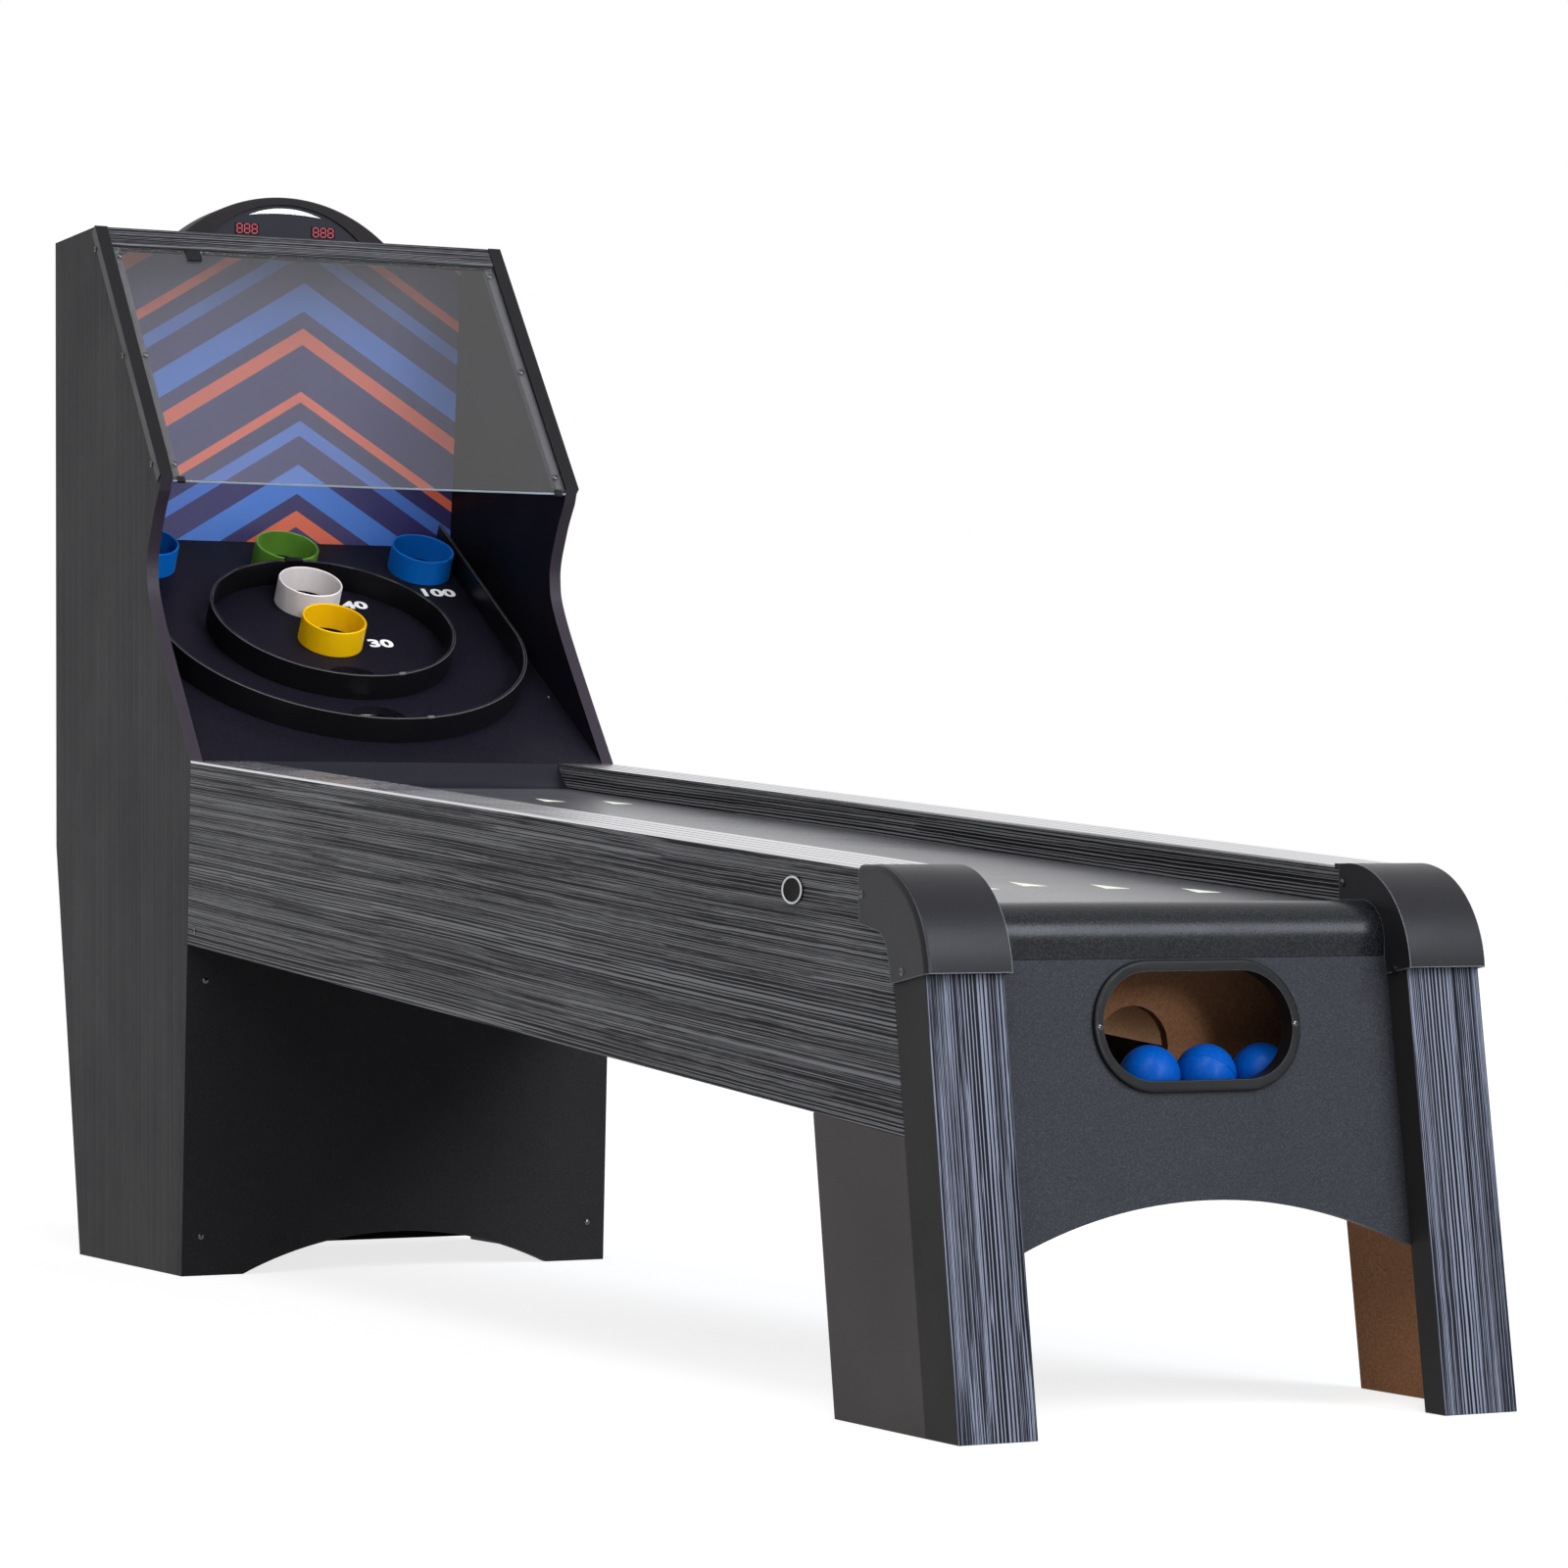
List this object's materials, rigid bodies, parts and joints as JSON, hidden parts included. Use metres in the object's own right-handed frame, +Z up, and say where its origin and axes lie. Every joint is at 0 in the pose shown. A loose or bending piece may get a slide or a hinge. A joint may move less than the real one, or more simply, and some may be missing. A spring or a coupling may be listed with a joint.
{
  "type": "roll and score game table",
  "caption": "Ball-rolling game table with a sloping lane, front ball tray, and a tall cabinet with ringed target cups, slanted clear visor and arched electronic scorer.",
  "frame": {"origin": "centre of the bounding box on the ground", "axes": "+Z up, +Y from the player's end to the cabinet, +X to the player's right"},
  "size_m": [0.618, 2.7544, 1.5103],
  "materials": {
    "dark_laminate": "satin charcoal wood-grain laminate",
    "post_laminate": "satin blue-grey wood-grain laminate",
    "plate_laminate": "smooth satin dark grey laminate",
    "black_panel": "fine pebbled black laminate",
    "black_moulding": "fine pebbled black moulding",
    "satin_black": "satin black",
    "clear_sheet": "clear polished sheet",
    "seat_strip": "matt grey strip",
    "artwork": "satin printed board",
    "target_surface": "satin black laminate",
    "yellow_cup": "satin yellow plastic",
    "white_cup": "satin white plastic",
    "green_cup": "satin green plastic",
    "blue_cup": "satin blue plastic",
    "lane_surface": "satin grey laminate",
    "silver_rail": "satin grooved rail",
    "raw_board": "raw fibreboard",
    "disc_metal": "satin disc",
    "crescent_metal": "bright satin trim",
    "scorer_slate": "satin slate face",
    "red_display": "dark red display window",
    "button_plastic": "matt push button",
    "ball_blue": "smooth blue ball",
    "flap_steel": "plain steel flap"
  },
  "bodies": {
    "table": {"cabinet_side_left": "dark_laminate", "cabinet_side_right": "dark_laminate", "roof_board": "dark_laminate", "rear_panel_upper": "black_panel", "rear_panel_lower": "black_panel", "lower_front_panel": "black_panel", "header_board": "dark_laminate", "visor_glass": "clear_sheet", "visor_seat_left": "seat_strip", "visor_seat_right": "seat_strip", "visor_trim_left": "satin_black", "visor_trim_right": "satin_black", "visor_top_clip": "satin_black", "artwork_backboard": "artwork", "target_board": "target_surface", "inner_ring_wall": "satin_black", "outer_ring_wall": "satin_black", "cup_yellow": "yellow_cup", "cup_white": "white_cup", "cup_green": "green_cup", "cup_blue_left": "blue_cup", "cup_blue_right": "blue_cup", "playfield": "lane_surface", "kicker_ramp": "lane_surface", "outer_board_left": "dark_laminate", "outer_board_right": "dark_laminate", "inner_board_left": "dark_laminate", "inner_board_right": "dark_laminate", "top_rail_left": "silver_rail", "top_rail_right": "silver_rail", "front_roll": "black_moulding", "front_apron": "black_panel", "return_bezel": "satin_black", "leg_post_left": "post_laminate", "leg_post_right": "post_laminate", "leg_plate_left": "plate_laminate", "leg_plate_right": "plate_laminate", "corner_cap_left": "black_moulding", "corner_cap_right": "black_moulding", "ball_tray": "raw_board", "return_bulkhead": "raw_board", "return_floor": "satin_black", "collector_board": "raw_board", "side_disc": "disc_metal", "scorer_housing": "black_moulding", "scorer_face": "scorer_slate", "scorer_display_left": "red_display", "scorer_display_right": "red_display", "scorer_crescent_trim": "crescent_metal"},
    "ball_1": {"ball_1": "ball_blue"},
    "ball_2": {"ball_2": "ball_blue"},
    "ball_3": {"ball_3": "ball_blue"},
    "button": {"scorer_button": "button_plastic"},
    "flap_low": {"score_flap_low": "flap_steel"},
    "flap_ring": {"score_flap_ring": "flap_steel"},
    "flap_yellow": {"score_flap_yellow": "flap_steel"},
    "flap_white": {"score_flap_white": "flap_steel"},
    "flap_green": {"score_flap_green": "flap_steel"},
    "flap_blue_left": {"score_flap_blue_left": "flap_steel"},
    "flap_blue_right": {"score_flap_blue_right": "flap_steel"}
  },
  "joints": [
    {"name": "ball_1_lift_out", "type": "slide", "parent": "table", "child": "ball_1", "axis": [0, -0.7431, 0.6691], "range_m": [0, 0.3]},
    {"name": "ball_2_lift_out", "type": "slide", "parent": "table", "child": "ball_2", "axis": [0, -0.7431, 0.6691], "range_m": [0, 0.3]},
    {"name": "ball_3_roll", "type": "slide", "parent": "table", "child": "ball_3", "axis": [1, 0, 0], "range_m": [0, 0.0595]},
    {"name": "scorer_button_press", "type": "slide", "parent": "table", "child": "button", "axis": [0, -1, 0], "range_m": [0, 0.0015], "stiffness_N_per_m": 300, "springref_m": -0.0005},
    {"name": "flap_low_swing", "type": "hinge", "parent": "table", "child": "flap_low", "pos_m": [0, 0.93013, 0.75174], "axis": [1, 0, 0], "range_deg": [0, 60], "stiffness_Nm_per_rad": 0.06, "springref_deg": -28.65},
    {"name": "flap_ring_swing", "type": "hinge", "parent": "table", "child": "flap_ring", "pos_m": [0, 1.02785, 0.81045], "axis": [1, 0, 0], "range_deg": [0, 60], "stiffness_Nm_per_rad": 0.06, "springref_deg": -28.65},
    {"name": "flap_yellow_swing", "type": "hinge", "parent": "table", "child": "flap_yellow", "pos_m": [0, 1.12785, 0.87054], "axis": [1, 0, 0], "range_deg": [0, 60], "stiffness_Nm_per_rad": 0.06, "springref_deg": -28.65},
    {"name": "flap_white_swing", "type": "hinge", "parent": "table", "child": "flap_white", "pos_m": [0, 1.22434, 0.92852], "axis": [1, 0, 0], "range_deg": [0, 60], "stiffness_Nm_per_rad": 0.06, "springref_deg": -28.65},
    {"name": "flap_green_swing", "type": "hinge", "parent": "table", "child": "flap_green", "pos_m": [0, 1.321, 0.98659], "axis": [1, 0, 0], "range_deg": [0, 60], "stiffness_Nm_per_rad": 0.06, "springref_deg": -28.65},
    {"name": "flap_blue_left_swing", "type": "hinge", "parent": "table", "child": "flap_blue_left", "pos_m": [-0.21, 1.32273, 0.98763], "axis": [1, 0, 0], "range_deg": [0, 60], "stiffness_Nm_per_rad": 0.06, "springref_deg": -28.65},
    {"name": "flap_blue_right_swing", "type": "hinge", "parent": "table", "child": "flap_blue_right", "pos_m": [0.21, 1.32273, 0.98763], "axis": [1, 0, 0], "range_deg": [0, 60], "stiffness_Nm_per_rad": 0.06, "springref_deg": -28.65}
  ]
}
